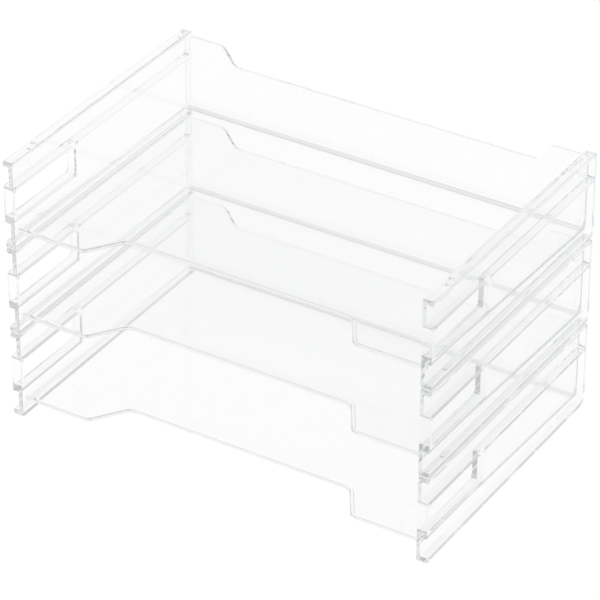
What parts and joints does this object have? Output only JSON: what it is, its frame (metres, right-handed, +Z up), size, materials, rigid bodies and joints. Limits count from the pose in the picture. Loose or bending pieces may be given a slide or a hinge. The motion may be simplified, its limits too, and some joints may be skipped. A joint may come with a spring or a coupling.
{
  "type": "stack of letter trays",
  "caption": "Clear plastic landscape letter trays stacked on one another, each a sloped pan between two ribbed side panels with hand windows, feet and stacking sockets.",
  "frame": {"origin": "middle of the stack's footprint, on the plane that the bottom tray's feet stand on", "axes": "+X to the right along the long open front, +Y from the open front to the back walls, +Z up"},
  "size_m": [0.34, 0.228, 0.2117],
  "materials": {
    "clear_plastic": "polished, colourless and clear"
  },
  "bodies": {
    "bottom_tray": {"bottom_pan": "clear_plastic", "bottom_left_panel": "clear_plastic", "bottom_right_panel": "clear_plastic", "bottom_front_left_foot": "clear_plastic", "bottom_front_right_foot": "clear_plastic", "bottom_back_left_foot": "clear_plastic", "bottom_back_right_foot": "clear_plastic"},
    "middle_tray": {"middle_pan": "clear_plastic", "middle_left_panel": "clear_plastic", "middle_right_panel": "clear_plastic", "middle_front_left_foot": "clear_plastic", "middle_front_right_foot": "clear_plastic", "middle_back_left_foot": "clear_plastic", "middle_back_right_foot": "clear_plastic"},
    "top_tray": {"top_pan": "clear_plastic", "top_left_panel": "clear_plastic", "top_right_panel": "clear_plastic", "top_front_left_foot": "clear_plastic", "top_front_right_foot": "clear_plastic", "top_back_left_foot": "clear_plastic", "top_back_right_foot": "clear_plastic"}
  },
  "joints": [
    {"name": "middle_tray_lift", "type": "slide", "parent": "bottom_tray", "child": "middle_tray", "axis": [0, 0, 1], "range_m": [0, 0.08]},
    {"name": "top_tray_lift", "type": "slide", "parent": "middle_tray", "child": "top_tray", "axis": [0, 0, 1], "range_m": [0, 0.08]}
  ]
}
